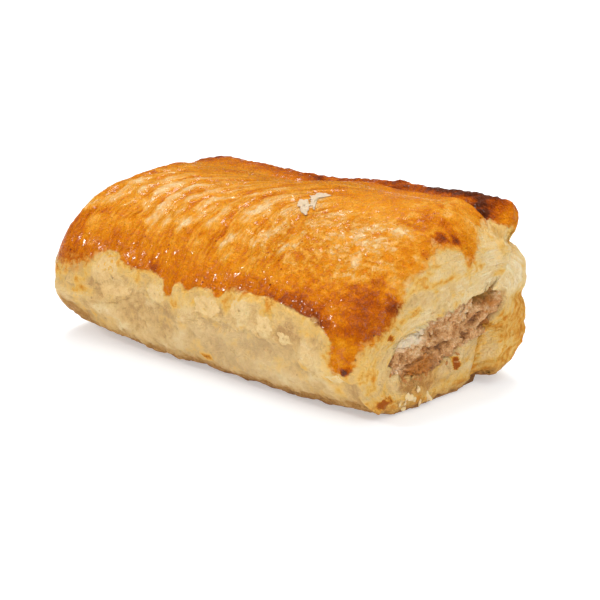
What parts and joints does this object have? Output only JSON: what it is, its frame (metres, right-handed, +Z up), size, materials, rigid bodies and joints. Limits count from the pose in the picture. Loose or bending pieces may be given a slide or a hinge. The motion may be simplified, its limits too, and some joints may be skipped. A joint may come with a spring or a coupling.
{
  "type": "sausage roll",
  "caption": "Baked puff-pastry sausage roll: a glazed, puffed wrap with a crimped back seam, open at both cut ends onto a tilted lens-shaped sausage-meat filling.",
  "frame": {"origin": "middle of the footprint, on the surface that the roll rests on", "axes": "+X along the roll towards the end whose cut shows the filling best, -Y towards the pale front side, +Y towards the crimped seam, +Z up"},
  "size_m": [0.113, 0.0654, 0.0438],
  "materials": {
    "baked_pastry": "satin egg-wash glaze over matt flaky pastry",
    "sausage_meat": "coarse, slightly moist"
  },
  "bodies": {
    "root": {"pastry": "baked_pastry", "sausage_filling": "sausage_meat"}
  },
  "joints": []
}
